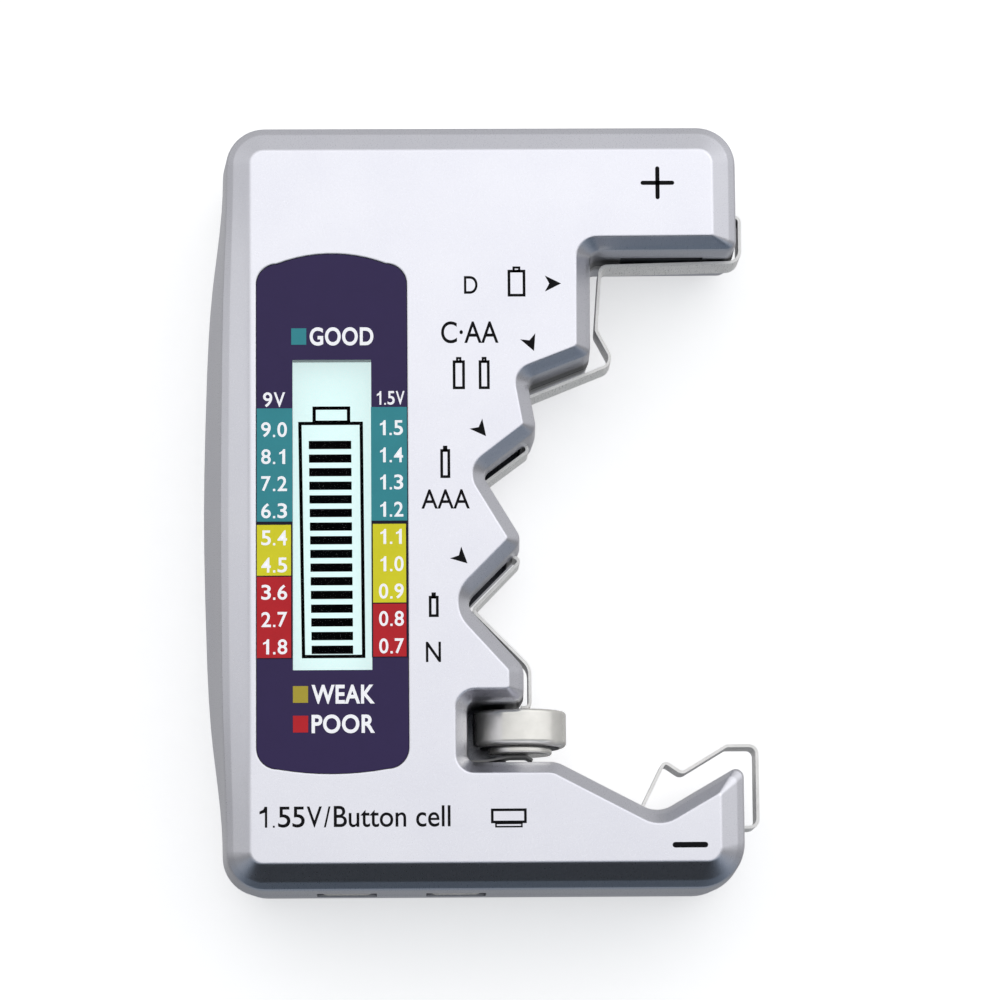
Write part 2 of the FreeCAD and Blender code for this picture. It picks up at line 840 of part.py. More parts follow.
def make_strip(label, route, thickness="strip_thickness", width="strip_width"):
    """Bent contact: its edge-on outline padded to the strip's width about the parting plane."""
    body = add_body(label)
    body.setExpression("Placement.Base.z", f"Dims.case_thickness / 2 - Dims.{width} / 2")
    sketch = add_sketch(body, "edge")
    add_curves(sketch, strip_outline(route, dim(thickness)))
    add_pad(body, sketch, f"Dims.{width}")
    return body


def lower_wall():
    """Outside of the case's lower wall at the parting plane."""
    return FACE_CORNERS[0][1] - FACE_CORNERS[0][4] - dim("wall_draft")


def make_nine_volt_contact(label, side):
    """Plate behind a window in the lower wall, with both sides folded inwards."""
    half = dim("pad_width") / 2
    thick = dim("strip_thickness")
    leg = dim("pad_leg")
    outer = 0.9
    middle = dim("pad_middle") + side * dim("pad_pitch")
    body = add_body(label, Vector(middle, lower_wall() + dim("pad_recess"), 0))
    body.setExpression("Placement.Base.z", "Dims.case_thickness / 2 - Dims.pad_height / 2")
    sketch = add_sketch(body, "edge")
    route = [
        (half - thick / 2, leg, 0),
        (half - thick / 2, thick / 2, outer),
        (thick / 2 - half, thick / 2, outer),
        (thick / 2 - half, leg, 0),
    ]
    add_curves(sketch, strip_outline(route, thick))
    add_pad(body, sketch, "Dims.pad_height")
    return body


def screw(place, radius, head, length, seat):
    """Pan-head screw with a cross recess; seat is the height of the head's underside."""
    tall = dim("head_height")
    head_solid = Part.makeCylinder(head, tall, Vector(0, 0, -tall))
    head_solid = head_solid.makeFillet(0.4 * tall, [head_solid.Edges[2]])
    shank = Part.makeCylinder(radius, length - radius)
    point = Part.makeCone(radius, 0.25 * radius, radius, Vector(0, 0, length - radius))
    slot = 0.18 * head
    arm = 0.62 * head
    cross = Part.makeBox(2 * arm, 2 * slot, 0.6 * tall, Vector(-arm, -slot, -tall))
    other = cross.copy()
    other.rotate(Vector(), Vector(0, 0, 1), 90)
    solid = head_solid.fuse([shank, point]).cut([cross, other]).removeSplitter()
    solid.translate(Vector(place[0], place[1], seat))
    return solid


def make_screws():
    case_screws = [
        screw(
            place,
            dim("case_screw_radius"),
            dim("case_screw_head"),
            dim("case_screw_length"),
            dim("case_screw_seat"),
        )
        for place in CASE_SCREWS
    ]
    add_group("case_screws", case_screws)
    board_screws = [
        screw(
            place,
            dim("board_screw_radius"),
            dim("board_screw_head"),
            dim("board_screw_length"),
            BOARD_BACK,
        )
        for place in BOARD_SCREWS
    ]
    add_group("board_screws", board_screws)


def make_lead(label, route):
    """Insulated wire along straight runs joined by tangent arcs."""
    points = [Vector(*point) for point in route]
    edges = []
    start = points[0]
    for before, corner, after in zip(points, points[1:], points[2:]):
        arc = corner_arc(before, corner, after, LEAD_BEND)
        edges.append(Part.LineSegment(start, arc.StartPoint).toShape())
        edges.append(arc.toShape())
        start = arc.EndPoint
    edges.append(Part.LineSegment(start, points[-1]).toShape())
    path = Part.Wire(edges)
    radius = dim("lead_diameter") / 2
    ring = Part.Wire(Part.makeCircle(radius, points[0], points[1] - points[0]))
    return add_shape(label, path.makePipeShell([ring], True, False))


def nine_volt_route(side):
    """Run of the lead from the board's lower end to the inside of one nine-volt contact."""
    x = dim("pad_middle") + side * dim("pad_pitch") - dim("pad_width") / 2 + 2.0
    y = -34.6 + 0.8 * side
    end = lower_wall() + dim("pad_recess") + dim("strip_thickness")
    return [(x, y, BOARD_BACK - 0.05), (x, y, 9.8), (x, end, 9.8)]


def make_button_cell():
    """Button cell lying across the slot, positive can upwards, negative cap on the leaf."""
    radius = dim("cell_radius")
    wall = dim("can_wall")
    can = dim("can_height")
    tall = dim("cell_height")
    cap = dim("cap_radius")
    place = Vector(dim("cell_x"), dim("cell_top"), MIDDLE)
    shoulder = 0.45
    crimp = 0.7
    lip = cap + 0.95
    bend = 1 - math.sqrt(0.5)

    body = add_body("cell_can", place)
    sketch = add_sketch(body, "section")
    shoulder_mid = Vector(radius - shoulder * bend, -shoulder * bend, 0)
    crimp_mid = Vector(radius - crimp * bend, crimp * bend - can, 0)
    wall_top = Vector(radius, -shoulder, 0)
    wall_foot = Vector(radius, crimp - can, 0)
    ring = [
        Vector(radius - crimp, -can, 0),
        Vector(lip, -can, 0),
        Vector(lip, wall - can, 0),
        Vector(radius - wall, wall - can + 0.35, 0),
        Vector(radius - wall, -wall, 0),
        Vector(0, -wall, 0),
        Vector(0, 0, 0),
        Vector(radius - shoulder, 0, 0),
    ]
    curves = [Part.LineSegment(ring[i], ring[i + 1]) for i in range(len(ring) - 1)]
    curves.append(Part.Arc(ring[-1], shoulder_mid, wall_top))
    curves.append(Part.LineSegment(wall_top, wall_foot))
    curves.append(Part.Arc(wall_foot, crimp_mid, ring[0]))
    add_curves(sketch, curves)
    add_revolution(body, sketch)

    body = add_body("cell_cap", place)
    sketch = add_sketch(body, "section")
    flange = cap + 0.6
    flange_low = 0.35 - can
    soft = 0.35
    corner = Vector(cap - soft * bend, soft * bend - tall, 0)
    foot = Vector(cap - soft, -tall, 0)
    side = Vector(cap, soft - tall, 0)
    ring = [
        side,
        Vector(cap, flange_low, 0),
        Vector(flange, flange_low, 0),
        Vector(flange, flange_low + wall, 0),
        Vector(cap - wall, flange_low + wall, 0),
        Vector(cap - wall, wall - tall, 0),
        Vector(0, wall - tall, 0),
        Vector(0, -tall, 0),
        foot,
    ]
    curves = [Part.LineSegment(ring[i], ring[i + 1]) for i in range(len(ring) - 1)]
    curves.append(Part.Arc(foot, corner, side))
    add_curves(sketch, curves)
    add_revolution(body, sketch)

    body = add_body("cell_gasket", place)
    sketch = add_sketch(body, "section")
    gap = 0.04
    outer = radius - wall - gap
    add_curves(
        sketch,
        section(
            [
                (cap + gap, -can - 0.1),
                (lip - gap, -can - 0.1),
                (lip - gap, wall - can + 0.4),
                (outer, wall - can + 0.45),
                (outer, 1.1 - can),
                (flange + gap, 1.1 - can),
                (flange + gap, flange_low - gap),
                (cap + gap, flange_low - gap),
            ]
        ),
    )
    add_revolution(body, sketch)

    body = add_body("cell_core", place)
    sketch = add_sketch(body, "section")
    ring = [
        (0, -wall - gap),
        (flange, -wall - gap),
        (flange, flange_low + wall + gap),
        (0, flange_low + wall + gap),
    ]
    add_curves(sketch, section(ring))
    add_revolution(body, sketch)


def build():
    make_front_shell()
    make_rear_shell()
    make_label()
    make_window()
    make_display_stack()
    make_holder()
    make_board()
    make_board_parts()
    make_strip("plus_contact_d_c", ROUTE_D_C)
    make_strip("plus_contact_aaa", ROUTE_AAA)
    make_strip("plus_contact_n", ROUTE_N)
    make_strip("minus_spring", ROUTE_MINUS)
    make_strip("button_minus_contact", ROUTE_BUTTON_LEAF, "leaf_thickness", "leaf_width")
    make_nine_volt_contact("nine_volt_contact_left", -0.5)
    make_nine_volt_contact("nine_volt_contact_right", 0.5)
    make_screws()
    for label, route in LEADS.items():
        make_lead(label, route)
    make_lead("lead_nine_volt_left", nine_volt_route(-0.5))
    make_lead("lead_nine_volt_right", nine_volt_route(0.5))
    make_button_cell()


PART_TYPES = ("PartDesign::Body", "Part::Feature", "Part::Box", "Part::Cylinder")


def export():
    doc.recompute()
    faults = [obj.Name for obj in doc.Objects if {"Invalid", "Error"} & set(obj.State)]
    subparts = [obj for obj in doc.Objects if obj.TypeId in PART_TYPES]
    for obj in subparts:
        if obj.Shape.isNull() or not obj.Shape.isValid() or obj.Shape.Volume <= 0:
            faults.append(f"{obj.Label} shape")
    if faults:
        sys.exit(f"failed objects: {faults}")
    os.makedirs("parts", exist_ok=True)
    for obj in subparts:
        obj.Shape.exportStep(f"parts/{obj.Label}.step")
        solids = len(obj.Shape.Solids)
        print(f"{obj.Label}: {solids} solid, {obj.Shape.Volume:.1f} mm3")


build()
export()
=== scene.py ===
"""Looks of the handheld battery tester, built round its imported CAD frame."""

import json
import math

import bmesh
import bpy
from mathutils import Matrix, Vector


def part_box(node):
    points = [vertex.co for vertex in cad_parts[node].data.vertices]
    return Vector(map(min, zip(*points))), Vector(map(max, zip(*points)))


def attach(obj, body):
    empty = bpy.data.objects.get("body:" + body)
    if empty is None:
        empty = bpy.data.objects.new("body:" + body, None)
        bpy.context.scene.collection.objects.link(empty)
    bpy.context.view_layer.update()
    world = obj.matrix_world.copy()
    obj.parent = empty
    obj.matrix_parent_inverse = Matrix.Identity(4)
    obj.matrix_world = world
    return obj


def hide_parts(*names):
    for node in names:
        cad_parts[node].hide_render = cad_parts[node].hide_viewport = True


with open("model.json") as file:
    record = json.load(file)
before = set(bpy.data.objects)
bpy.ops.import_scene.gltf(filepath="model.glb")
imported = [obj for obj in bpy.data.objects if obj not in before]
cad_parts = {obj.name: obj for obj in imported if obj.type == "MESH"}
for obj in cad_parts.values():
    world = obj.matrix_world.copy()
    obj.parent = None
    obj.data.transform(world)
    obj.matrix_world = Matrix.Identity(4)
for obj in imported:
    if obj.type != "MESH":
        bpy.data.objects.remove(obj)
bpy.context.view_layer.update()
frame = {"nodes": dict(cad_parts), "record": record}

MM = 0.001

# Heights of the face and the label's surface, and the display's box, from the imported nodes.
FACE_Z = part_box("front_shell")[1].z
LABEL_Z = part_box("display_label")[1].z
LCD_LOW, LCD_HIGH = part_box("lcd_polariser")


# ---------------------------------------------------------------- shader helpers


def new_material(name):
    """Empty node material, with its tree, its Principled shader and object coordinates."""
    material = bpy.data.materials.new(name)
    material.use_nodes = True
    tree = material.node_tree
    tree.nodes.clear()
    output = tree.nodes.new("ShaderNodeOutputMaterial")
    shader = tree.nodes.new("ShaderNodeBsdfPrincipled")
    tree.links.new(shader.outputs["BSDF"], output.inputs["Surface"])
    coords = tree.nodes.new("ShaderNodeTexCoord").outputs["Object"]
    return material, tree, shader, coords


def stretched(tree, coords, scale):
    """Object coordinates multiplied by a scale along each axis."""
    mapping = tree.nodes.new("ShaderNodeMapping")
    mapping.inputs["Scale"].default_value = scale
    tree.links.new(coords, mapping.inputs["Vector"])
    return mapping.outputs["Vector"]


def noise(tree, coords, size, detail=3.0, roughness=0.55):
    """Soft noise whose blobs are about one size across, in metres."""
    node = tree.nodes.new("ShaderNodeTexNoise")
    node.inputs["Scale"].default_value = 1 / size
    node.inputs["Detail"].default_value = detail
    node.inputs["Roughness"].default_value = roughness
    tree.links.new(coords, node.inputs["Vector"])
    return node.outputs["Fac"]


def flakes(tree, coords, size):
    """Random value for each small cell of the surface."""
    node = tree.nodes.new("ShaderNodeTexVoronoi")
    node.inputs["Scale"].default_value = 1 / size
    tree.links.new(coords, node.inputs["Vector"])
    return node.outputs["Color"]


def pip_grid(tree, coords, pitch):
    """Height of small round pips on a square grid of the given pitch, in metres."""
    node = tree.nodes.new("ShaderNodeTexVoronoi")
    node.inputs["Scale"].default_value = 1 / pitch
    node.inputs["Randomness"].default_value = 0.0
    tree.links.new(coords, node.inputs["Vector"])
    return ramp(tree, node.outputs["Distance"], 1, 0, 0.2, 0.45)


def ramp(tree, value, low, high, start=0.3, end=0.7):
    """Value mapped from start..end to low..high."""
    node = tree.nodes.new("ShaderNodeMapRange")
    for name, number in zip(
        ("From Min", "From Max", "To Min", "To Max"), (start, end, low, high)
    ):
        node.inputs[name].default_value = number
    tree.links.new(value, node.inputs["Value"])
    return node.outputs["Result"]


def blend_colours(tree, factor, first, second):
    """Colour that runs from first to second as the factor goes from 0 to 1."""
    node = tree.nodes.new("ShaderNodeMix")
    node.data_type = "RGBA"
    tree.links.new(factor, node.inputs["Factor"])
    for socket, colour in ((node.inputs["A"], first), (node.inputs["B"], second)):
        if isinstance(colour, tuple):
            socket.default_value = (*colour, 1)
        else:
            tree.links.new(colour, socket)
    return node.outputs["Result"]


def bump(tree, height, distance, normal=None):
    """Normal disturbed by a height, laid over another normal if one is given."""
    node = tree.nodes.new("ShaderNodeBump")
    node.inputs["Distance"].default_value = distance
    node.inputs["Strength"].default_value = 1.0
    tree.links.new(height, node.inputs["Height"])
    if normal:
        tree.links.new(normal, node.inputs["Normal"])
    return node.outputs["Normal"]


SHADER_SAMPLES = 6


def softened(tree, radius):
    """Normal that rounds every edge of the shape by a small radius."""
    node = tree.nodes.new("ShaderNodeBevel")
    node.samples = SHADER_SAMPLES
    node.inputs["Radius"].default_value = radius
    return node.outputs["Normal"]


def open_to_light(tree, reach):
    """Value that falls from 1 in the open to 0 deep in a slot or a gap of about the given reach."""
    node = tree.nodes.new("ShaderNodeAmbientOcclusion")
    node.samples = SHADER_SAMPLES
    node.inputs["Distance"].default_value = reach
    return ramp(tree, node.outputs["AO"], 0, 1, 0.22, 0.8)


def set_roughness(tree, shader, grain, roughness):
    """Roughness that follows a grain, a little either side of its middle value."""
    rough = ramp(tree, grain, roughness * 0.85, min(roughness * 1.2, 1))
    tree.links.new(rough, shader.inputs["Roughness"])


def rgb(red, green, blue):
    """Linear colour from display values of 0 to 255."""
    return tuple(
        value / 3294.6 if value <= 10 else ((value / 255 + 0.055) / 1.055) ** 2.4
        for value in (red, green, blue)
    )


# ---------------------------------------------------------------- materials


# Sizes of the paint's tone patches, flakes, fine grain and orange peel.
PAINT_PATCH = 9 * MM
PAINT_FLAKE = 0.09 * MM
PAINT_GRAIN = 0.12 * MM
PAINT_PEEL = 1.4 * MM
# How far the painted shade of a gap reaches, and the radius of the softened edges.
PAINT_SHADE_REACH = 4.5 * MM
PAINT_EDGE = 0.28 * MM


def silver_paint():
    """Satin metallic paint on moulded plastic: fine flakes over a faint orange peel, darkened by
    painted shade in slots and gaps.
    """
    material, tree, shader, coords = new_material("silver_paint")
    patches = ramp(tree, noise(tree, coords, PAINT_PATCH, 2), 0, 1)
    base = blend_colours(tree, patches, rgb(230, 230, 238), rgb(234, 234, 241))
    sparkle = ramp(tree, flakes(tree, coords, PAINT_FLAKE), 0, 0.35, 0.5, 1.0)
    bright = blend_colours(tree, sparkle, base, rgb(246, 246, 251))
    # Painted shade: the colour turns a dark blue-grey deep in slots, in the gaps beside the strips
    # and under the steps.
    colour = blend_colours(tree, open_to_light(tree, PAINT_SHADE_REACH), rgb(52, 56, 64), bright)
    tree.links.new(colour, shader.inputs["Base Color"])
    grain = noise(tree, coords, PAINT_GRAIN, 2)
    tree.links.new(ramp(tree, grain, 0.27, 0.31), shader.inputs["Roughness"])
    rounded = softened(tree, PAINT_EDGE)
    peel = bump(tree, noise(tree, coords, PAINT_PEEL, 2), 0.003 * MM, rounded)
    tree.links.new(bump(tree, grain, 0.0008 * MM, peel), shader.inputs["Normal"])
    shader.inputs["Metallic"].default_value = 0.97
    return material


def moulded(
    name,
    colour,
    roughness=0.4,
    contrast=0.12,
    grain=0.25 * MM,
    depth=0.004 * MM,
    specular=0.5,
    glow=0.0,
):
    """Plastic, film, ink or rubber with a fine grain and a slight change of tone."""
    material, tree, shader, coords = new_material(name)
    darker = tuple(value * (1 - contrast) for value in colour)
    mottled = ramp(tree, noise(tree, coords, 2.5 * MM), 0, 1)
    shade = blend_colours(tree, mottled, darker, colour)
    tree.links.new(shade, shader.inputs["Base Color"])
    tree.links.new(shade, shader.inputs["Emission Color"])
    shader.inputs["Emission Strength"].default_value = glow
    fine = noise(tree, coords, grain, 2)
    set_roughness(tree, shader, fine, roughness)
    tree.links.new(bump(tree, fine, depth), shader.inputs["Normal"])
    shader.inputs["Specular IOR Level"].default_value = specular
    return material


def metal(
    name,
    colour,
    roughness=0.25,
    along=(1, 1, 1),
    grain=0.05 * MM,
    depth=0.002 * MM,
    edge=0.06 * MM,
    metallic=1.0,
    pips=0.0,
):
    """Metal with softened edges and fine brushing, drawn out along the axes whose scale is small.

    pips is the pitch of a grid of small raised dots, or 0 for none.
    """
    material, tree, shader, coords = new_material(name)
    brushed = noise(tree, stretched(tree, coords, along), grain, 3)
    clouds = ramp(tree, noise(tree, coords, 1.6 * MM), 0, 1)
    darker = tuple(value * 0.9 for value in colour)
    tree.links.new(blend_colours(tree, clouds, darker, colour), shader.inputs["Base Color"])
    set_roughness(tree, shader, brushed, roughness)
    normal = softened(tree, edge)
    if pips:
        normal = bump(tree, pip_grid(tree, coords, pips), 0.12 * pips, normal)
    tree.links.new(bump(tree, brushed, depth, normal), shader.inputs["Normal"])
    shader.inputs["Metallic"].default_value = metallic
    return material


def clear_plastic(name, alpha=0.04):
    """Clear lens: mostly see-through, with a polished surface and faint wipe marks."""
    material, tree, shader, coords = new_material(name)
    marks = noise(tree, stretched(tree, coords, (1, 0.2, 1)), 0.8 * MM)
    tree.links.new(ramp(tree, marks, 0.03, 0.10), shader.inputs["Roughness"])
    tint = blend_colours(tree, marks, rgb(18, 22, 24), rgb(26, 30, 32))
    tree.links.new(tint, shader.inputs["Base Color"])
    shader.inputs["Alpha"].default_value = alpha
    shader.inputs["Specular IOR Level"].default_value = 0.3
    return material


# Darker and lighter tone of the display's speckle: by the room's light, and by a painted glow of
# its own.
LCD_BASE = rgb(140, 172, 170), rgb(148, 180, 178)
LCD_PAINTED_GLOW = rgb(226, 249, 248), rgb(232, 254, 252)


def lcd_picture():
    """Pale cyan of a reflective display, faintly speckled by its diffuser, with a painted glow that
    makes it brighter than the room's light alone.
    """
    material, tree, shader, coords = new_material("lcd_picture")
    speck = ramp(tree, noise(tree, coords, 0.14 * MM, 1), 0, 1)
    tree.links.new(blend_colours(tree, speck, *LCD_BASE), shader.inputs["Base Color"])
    tree.links.new(blend_colours(tree, speck, *LCD_PAINTED_GLOW), shader.inputs["Emission Color"])
    tree.links.new(ramp(tree, speck, 0.45, 0.6), shader.inputs["Roughness"])
    shader.inputs["Specular IOR Level"].default_value = 0.1
    shader.inputs["Emission Strength"].default_value = 0.86
    return material


def board_laminate():
    """Green solder mask with copper tracks showing through it."""
    material, tree, shader, coords = new_material("board_laminate")
    tracks = tree.nodes.new("ShaderNodeTexWave")
    tracks.inputs["Scale"].default_value = 260
    tracks.inputs["Distortion"].default_value = 3.0
    tree.links.new(coords, tracks.inputs["Vector"])
    lines = ramp(tree, tracks.outputs["Fac"], 0, 1, 0.55, 0.65)
    colour = blend_colours(tree, lines, rgb(20, 92, 48), rgb(44, 128, 70))
    tree.links.new(colour, shader.inputs["Base Color"])
    tree.links.new(ramp(tree, lines, 0.3, 0.42), shader.inputs["Roughness"])
    tree.links.new(bump(tree, lines, 0.02 * MM), shader.inputs["Normal"])
    return material


def ink(name, colour, contrast, roughness=0.45, grain=0.2 * MM, glow=0.0):
    """Printed ink."""
    return moulded(name, colour, roughness, contrast, grain, specular=0.2, glow=glow)


PAINT = silver_paint()
LABEL_FILM = moulded("label_film", rgb(52, 38, 86), 0.42, 0.05, specular=0.25)
LENS = clear_plastic("clear_lens")
STEEL_ROUND = metal(
    "cell_steel",
    rgb(236, 234, 228),
    0.15,
    (1, 0.02, 1),
    depth=0.0006 * MM,
    edge=0.12 * MM,
    metallic=0.7,
)
NICKEL = metal(
    "nickel_strip", rgb(244, 243, 240), 0.3, (1, 1, 0.03), depth=0.0002 * MM, metallic=0.35
)
# A darker copy of the nickel for the leaf deep in the button cell's slot: painted shade.
SHADED_LEAF_NICKEL = metal("leaf_nickel_painted_shade", rgb(112, 112, 112), 0.4, (1, 1, 0.03), depth=0.001 * MM)
PAD_NICKEL = metal(
    "nickel_pad", rgb(206, 203, 197), 0.34, grain=0.12 * MM, metallic=0.45, pips=0.6 * MM
)
INK_BLACK = moulded("ink_black", rgb(13, 13, 17), 0.6, 0.3, 0.12 * MM, specular=0.12)
# The white ink has a faint glow of its own: painted light that makes the print brighter than the
# room's light leaves it.
INK_WHITE = ink("ink_white", rgb(252, 252, 255), 0.02, 0.5, 0.12 * MM, glow=0.2)
INK_TEAL = ink("ink_teal", rgb(60, 152, 162), 0.06)
INK_YELLOW = ink("ink_yellow", rgb(240, 232, 44), 0.05)
INK_RED = ink("ink_red", rgb(206, 36, 46), 0.08)
INK_OCHRE = ink("ink_ochre", rgb(190, 172, 62), 0.05)
INK_NAVY = ink("ink_navy", rgb(20, 17, 42), 0.2)
LCD_BLACK = moulded("lcd_black", rgb(4, 4, 6), 0.7, 0.3, 0.3 * MM, 0.0004 * MM, specular=0.0)
LCD_PALE = lcd_picture()

SLOT_MATERIALS = {
    "case_paint": PAINT,
    "label_film": LABEL_FILM,
    "clear_lens": LENS,
    "lcd_glass": clear_plastic("lcd_glass", 0.25),
    "polariser_film": LCD_PALE,
    "reflector_film": moulded("reflector_film", rgb(214, 240, 238), 0.35),
    "white_plastic": moulded("white_plastic", rgb(226, 226, 222), 0.45),
    "board_laminate": board_laminate(),
    "black_epoxy": moulded("black_epoxy", rgb(24, 24, 26), 0.25, 0.3),
    "ferrite": moulded("ferrite", rgb(62, 62, 66), 0.7, 0.35, 0.1 * MM, 0.01 * MM),
    "resistor_body": moulded("resistor_body", rgb(32, 32, 36), 0.35, 0.3),
    "capacitor_body": moulded("capacitor_body", rgb(178, 150, 118), 0.5, 0.2),
    "elastomer": moulded("elastomer", rgb(236, 214, 218), 0.55, 0.15),
    "nickel_strip": NICKEL,
    "nickel_pad": PAD_NICKEL,
    "screw_steel": metal("screw_steel", rgb(190, 190, 194), 0.3, (1, 1, 1), 0.1 * MM),
    "red_insulation": moulded("red_insulation", rgb(196, 30, 32), 0.35),
    "black_insulation": moulded("black_insulation", rgb(36, 36, 38), 0.35, 0.25),
    "cell_steel": STEEL_ROUND,
    "gasket_plastic": moulded("gasket_plastic", rgb(30, 30, 34), 0.5, 0.3),
    "cell_filling": moulded("cell_filling", rgb(60, 60, 62), 0.8, 0.4, 0.1 * MM),
}


def dress_nodes():
    """Gives every CAD node the material of its slot; the leaf in the slot gets a darker copy of the
    nickel, which is painted shade.
    """
    for entry in frame["record"]["subparts"]:
        mesh = frame["nodes"][entry["node"]].data
        mesh.materials.clear()
        mesh.materials.append(SLOT_MATERIALS[entry["material_slot"]])
    leaf = frame["nodes"]["button_minus_contact"].data
    leaf.materials[0] = SHADED_LEAF_NICKEL


# ---------------------------------------------------------------- mesh helpers


def finish_piece(name, mesh, material, body="case"):
    """Wraps a flat-shaded mesh as a piece that rides on a body."""
    piece = bpy.data.objects.new(name, mesh)
    bpy.context.scene.collection.objects.link(piece)
    mesh.materials.clear()
    mesh.materials.append(material)
    for face in mesh.polygons:
        face.use_smooth = False
    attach(piece, body)
    return piece


def solid_sheet(bm, bottom, thickness):
    """Turns flat faces into a closed sheet between bottom and bottom + thickness."""
    bmesh.ops.remove_doubles(bm, verts=bm.verts, dist=1e-7)
    raised = bmesh.ops.extrude_face_region(bm, geom=bm.faces[:])["geom"]
    top = {item for item in raised if isinstance(item, bmesh.types.BMVert)}
    for vert in bm.verts:
        vert.co.z = bottom + (thickness if vert in top else 0)
    bmesh.ops.recalc_face_normals(bm, faces=bm.faces)


def add_polygon(bm, points):
    """One flat face through points given in millimetres."""
    bm.faces.new([bm.verts.new((x * MM, y * MM, 0)) for x, y in points])


def add_box(bm, left, right, low, high):
    """One flat upright rectangle, in millimetres."""
    add_polygon(bm, [(left, low), (right, low), (right, high), (left, high)])


def inset(points, width):
    """Points of a closed anticlockwise outline moved inwards by a width."""
    moved = []
    count = len(points)
    for i in range(count):
        before = Vector(points[i - 1])
        here = Vector(points[i])
        after = Vector(points[(i + 1) % count])
        into = (here - before).normalized()
        onward = (after - here).normalized()
        normal_in = Vector((-into.y, into.x))
        normal_out = Vector((-onward.y, onward.x))
        middle = normal_in + normal_out
        moved.append(here + middle * (width / (1 + normal_in.dot(normal_out))))
    return moved


def add_outline(bm, points, width):
    """Closed line of a given width, drawn just inside an anticlockwise outline."""
    inner = inset(points, width)
    outer = [Vector(point) for point in points]
    for i in range(len(points)):
        after = (i + 1) % len(points)
        add_polygon(bm, [outer[i], outer[after], inner[after], inner[i]])


def text_mesh(words, left, right, low, high, weight=0.0, spacing=1.0):
    """Words in the built-in font, fitted to a box in millimetres, as a flat mesh."""
    curve = bpy.data.curves.new("words", "FONT")
    curve.body = words
    curve.offset = weight
    curve.space_character = spacing
    curve.resolution_u = 8
    curve.fill_mode = "FRONT"
    holder = bpy.data.objects.new("words", curve)
    mesh = bpy.data.meshes.new_from_object(holder)
    bpy.data.objects.remove(holder)
    xs = [vert.co.x for vert in mesh.vertices]
    ys = [vert.co.y for vert in mesh.vertices]
    across = (right - left) / (max(xs) - min(xs))
    up = (high - low) / (max(ys) - min(ys))
    for vert in mesh.vertices:
        x = left + (vert.co.x - min(xs)) * across
        y = low + (vert.co.y - min(ys)) * up
        vert.co = (x * MM, y * MM, 0)
    return mesh


def add_words(bm, words, left, right, low, high, **font):
    """Words in the built-in font, fitted to a box in millimetres."""
    mesh = text_mesh(words, left, right, low, high, **font)
    bm.from_mesh(mesh)
    bpy.data.meshes.remove(mesh)


# Room that a sign takes, and the gap after it, as shares of the pitch of the figures.
ADVANCES = {".": 0.46, "V": 1.2, "/": 0.6}
FIGURE_GAP = 0.14
POINT_SIZE = 0.15


def figure_one(thin):
    """Outline of a flagged one, 1 high, across shares of a pitch; thin narrows its stem."""
    right = 0.70
    left = right - 0.26 * thin
    flag = [(0.52, 1.0), (0.42, 0.86), (0.16, 0.77), (0.16, 0.64)]
    return [(left, 0.0), (right, 0.0), (right, 1.0), *flag, (left, 0.72)]


def add_figures(bm, words, left, right, low, high, weight=0.0, thin=1.0):
    """Figures set one by one on an even pitch; thin narrows the drawn one and the point."""
    total = sum(ADVANCES.get(sign, 1.0) for sign in words)
    pitch = (right - left) / (total - FIGURE_GAP)
    tall = high - low
    place = left
    for sign in words:
        advance = ADVANCES.get(sign, 1.0) * pitch
        end = place + advance - FIGURE_GAP * pitch
        if sign == "1":
            shape = [(place + x * pitch, low + y * tall) for x, y in figure_one(thin)]
            add_polygon(bm, shape)
        elif sign == ".":
            size = POINT_SIZE * thin * tall
            middle = (place + end) / 2
            add_box(bm, middle - size / 2, middle + size / 2, low, low + size)
        else:
            add_words(bm, sign, place, end, low, high, weight=weight)
        place += advance


def rounded_bar(bm, start, end, width):
    """Straight stroke with round ends."""
    steps = 8
    along = Vector(end) - Vector(start)
    turn = math.atan2(along.y, along.x)
    points = []
    for centre, first in ((end, turn - math.pi / 2), (start, turn + math.pi / 2)):
        for i in range(steps + 1):
            angle = first + math.pi * i / steps
            x = centre[0] + math.cos(angle) * width / 2
            y = centre[1] + math.sin(angle) * width / 2
            points.append((x, y))
    add_polygon(bm, points)


INK_THICKNESS = 0.012 * MM


def print_layer(name, draw, bottom, material):
    """Thin raised print: draw fills a bmesh with flat faces, which become a closed sheet."""
    bm = bmesh.new()
    draw(bm)
    solid_sheet(bm, bottom, INK_THICKNESS)
    mesh = bpy.data.meshes.new(name)
    bm.to_mesh(mesh)
    bm.free()
    return finish_piece(name, mesh, material)


# ---------------------------------------------------------------- printed label

# All places on the label and the face are in millimetres from the middle of the case.
SCALE_LEFT = (-27.42, -23.06)
SCALE_RIGHT = (-13.4, -8.98)

# Each band's ink, and its low and high edges in the left and the right scale.
BANDS = {
    "teal": (INK_TEAL, (-2.54, 11.5), (-2.48, 11.62)),
    "yellow": (INK_YELLOW, (-9.21, -2.95), (-12.59, -2.89)),
    "red": (INK_RED, (-19.34, -9.36), (-19.23, -12.74)),
}
# How much of the navy backing shows beside the lower bands, below the red and above the teal.
BAND_MARGIN = 0.18
BACKING_BELOW = 0.12
BACKING_ABOVE = 0.02

# Figures of each scale: left and right edge, and the middle height of the first and the last.
VOLTS = (
    ("9.0 8.1 7.2 6.3 5.4 4.5 3.6 2.7 1.8", -26.88, -23.72, 8.86, -17.97),
    ("1.5 1.4 1.3 1.2 1.1 1.0 0.9 0.8 0.7", -12.5, -9.47, 9.04, -17.93),
)
VOLT_HEIGHT = 1.85

